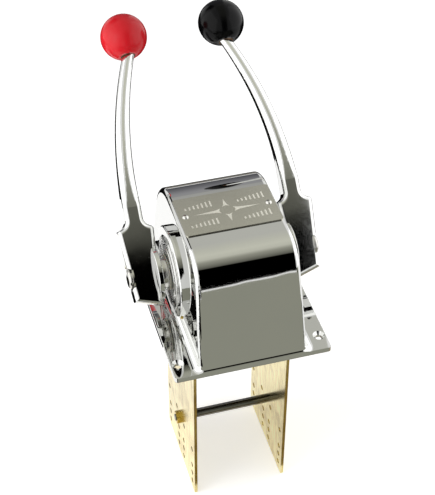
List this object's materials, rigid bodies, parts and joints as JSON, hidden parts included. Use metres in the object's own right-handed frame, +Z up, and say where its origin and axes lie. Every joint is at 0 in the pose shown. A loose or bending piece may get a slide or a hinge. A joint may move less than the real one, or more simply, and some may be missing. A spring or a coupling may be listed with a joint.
{
  "type": "marine twin lever engine control",
  "caption": "Deck-mounted marine engine control with a throttle lever and a shift lever on a chrome housing, brass side plates and inner cable cranks.",
  "frame": {"origin": "centre of the deck face of the flange", "axes": "+Z up out of the deck, +Y forward away from the helmsman, +X to the right across the boat"},
  "size_m": [0.1604, 0.2517, 0.3646],
  "materials": {
    "chrome_casting": "polished chrome plating on a brass casting",
    "chrome_forging": "polished chrome plating on a forged lever",
    "chrome_turned": "turned and polished",
    "satin_plate": "satin, with an etched direction star",
    "bronze": "turned bearing bronze",
    "brass_sheet": "rolled sheet, lightly stained",
    "brass_fittings": "turned brass",
    "dark_steel": "plain drawn steel, oiled",
    "cast_crank": "zinc plated casting",
    "red_plastic": "moulded and polished",
    "black_plastic": "moulded and polished",
    "nylon": "natural nylon",
    "brake_lining": "woven friction lining"
  },
  "bodies": {
    "base": {"brake_plug": "dark_steel", "brake_shoe": "brake_lining", "brake_spring": "dark_steel", "detent_ball": "dark_steel", "detent_plug": "dark_steel", "detent_spring": "dark_steel", "housing": "chrome_casting", "name_plate": "satin_plate", "name_plate_screws": "chrome_turned", "shaft_bush_left": "bronze", "shaft_bush_right": "bronze", "side_cover_left": "chrome_turned", "side_cover_right": "chrome_turned", "side_plate_left": "brass_sheet", "side_plate_right": "brass_sheet", "side_plate_screws": "dark_steel", "thrust_washer_left": "nylon", "thrust_washer_right": "nylon", "tie_rod": "dark_steel", "tie_rod_nuts": "brass_fittings"},
    "throttle_lever": {"cable_pin_throttle": "dark_steel", "cap_screw_throttle": "chrome_turned", "cap_washer_throttle": "chrome_turned", "crank_throttle": "cast_crank", "cross_pin_throttle": "dark_steel", "grub_screw_throttle": "dark_steel", "knob_insert_throttle": "brass_fittings", "knob_throttle": "red_plastic", "lever_throttle": "chrome_forging", "shaft_throttle": "chrome_turned"},
    "shift_lever": {"cable_pin_shift": "dark_steel", "cap_screw_shift": "chrome_turned", "cap_washer_shift": "chrome_turned", "crank_shift": "cast_crank", "cross_pin_shift": "dark_steel", "grub_screw_shift": "dark_steel", "knob_insert_shift": "brass_fittings", "knob_shift": "black_plastic", "lever_shift": "chrome_forging", "shaft_shift": "chrome_turned"}
  },
  "joints": [
    {"name": "throttle_pivot", "type": "hinge", "parent": "base", "child": "throttle_lever", "pos_m": [-0.04, 0.0015, 0.04], "axis": [1, 0, 0], "range_deg": [0, 102]},
    {"name": "shift_pivot", "type": "hinge", "parent": "base", "child": "shift_lever", "pos_m": [0.04, 0.0015, 0.04], "axis": [1, 0, 0], "range_deg": [0, 102]}
  ]
}
